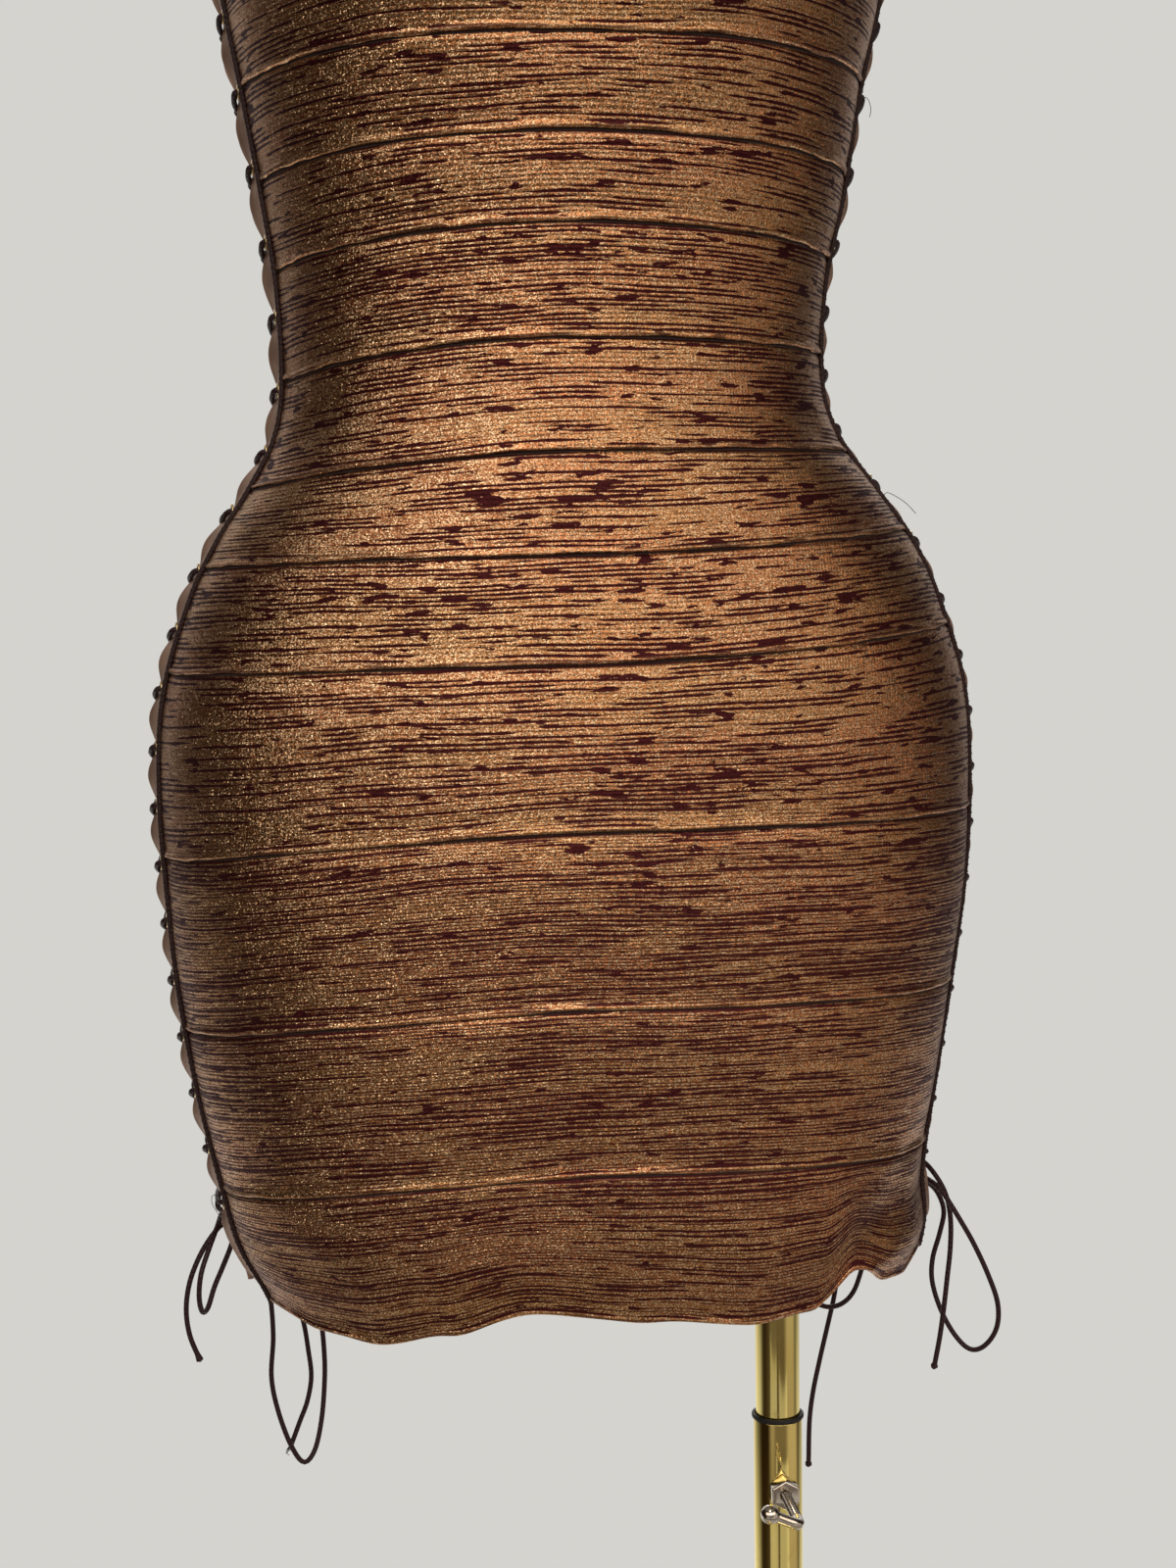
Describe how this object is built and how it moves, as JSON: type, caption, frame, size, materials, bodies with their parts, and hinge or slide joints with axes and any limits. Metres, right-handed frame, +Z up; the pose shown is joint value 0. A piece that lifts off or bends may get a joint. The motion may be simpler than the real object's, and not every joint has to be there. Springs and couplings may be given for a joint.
{
  "type": "bodycon dress on dress form",
  "caption": "Bodycon mini dress of knit bandage bands, laced up its open sides, on a limbless dress form that slides and turns on a round-based stand.",
  "frame": {"origin": "centre of the base plate's underside, on the floor", "axes": "+Z up; the dress's front faces -Y; +X is the viewer's right when facing the front; the mast stands at X = 0.093 m"},
  "size_m": [0.41, 0.41, 1.535],
  "materials": {
    "copper_foil_knit": "metallic copper foil knit with a dark grain-like streak print",
    "foil_placket": "plain dull bronze foil over brown cloth",
    "dark_piping": "dark corded braid",
    "lacing_cord": "slightly shiny dark brown round cord",
    "form_jersey": "matt off-white jersey stretched over a hollow shell",
    "polished_brass": "polished",
    "warm_chrome": "polished, slightly warm",
    "black_rubber": "matte"
  },
  "bodies": {
    "stand": {"base_plate": "polished_brass", "foot_flange": "polished_brass", "lower_tube": "polished_brass", "top_ring": "black_rubber", "clamp_nut": "warm_chrome"},
    "mast": {"mast_tube": "polished_brass"},
    "figure": {"front_band_01": "copper_foil_knit", "front_band_02": "copper_foil_knit", "front_band_03": "copper_foil_knit", "front_band_04": "copper_foil_knit", "front_band_05": "copper_foil_knit", "front_band_06": "copper_foil_knit", "front_band_07": "copper_foil_knit", "front_band_08": "copper_foil_knit", "front_band_09": "copper_foil_knit", "front_band_10": "copper_foil_knit", "front_band_11": "copper_foil_knit", "front_band_12": "copper_foil_knit", "front_band_13": "copper_foil_knit", "back_band_01": "copper_foil_knit", "back_band_02": "copper_foil_knit", "back_band_03": "copper_foil_knit", "back_band_04": "copper_foil_knit", "back_band_05": "copper_foil_knit", "back_band_06": "copper_foil_knit", "back_band_07": "copper_foil_knit", "back_band_08": "copper_foil_knit", "back_band_09": "copper_foil_knit", "back_band_10": "copper_foil_knit", "back_band_11": "copper_foil_knit", "back_band_12": "copper_foil_knit", "back_band_13": "copper_foil_knit", "piping_front_left": "dark_piping", "piping_front_right": "dark_piping", "piping_back_left": "dark_piping", "piping_back_right": "dark_piping", "eyelet_placket_front_left": "foil_placket", "eyelet_placket_front_right": "foil_placket", "eyelet_placket_back_left": "foil_placket", "eyelet_placket_back_right": "foil_placket", "lace_left": "lacing_cord", "lace_right": "lacing_cord", "bow_knot_left": "lacing_cord", "bow_knot_right": "lacing_cord", "bow_left_outer_tail": "lacing_cord", "bow_left_outer_loop": "lacing_cord", "bow_left_inner_tail": "lacing_cord", "bow_left_inner_loop": "lacing_cord", "bow_right_outer_tail": "lacing_cord", "bow_right_outer_loop": "lacing_cord", "bow_right_inner_tail": "lacing_cord", "bow_right_inner_loop": "lacing_cord", "dress_form": "form_jersey"},
    "clamp": {"clamp_screw": "warm_chrome"}
  },
  "joints": [
    {"name": "mast_height", "type": "slide", "parent": "stand", "child": "mast", "axis": [0, 0, 1], "range_m": [-0.07, 0.25]},
    {"name": "figure_turn", "type": "hinge", "parent": "mast", "child": "figure", "pos_m": [0.093, 0, 0.735], "axis": [0, 0, 1], "continuous": true},
    {"name": "clamp_turn", "type": "hinge", "parent": "stand", "child": "clamp", "pos_m": [0.093, 0, 0.558], "axis": [0, -1, 0], "range_deg": [0, 270]}
  ]
}
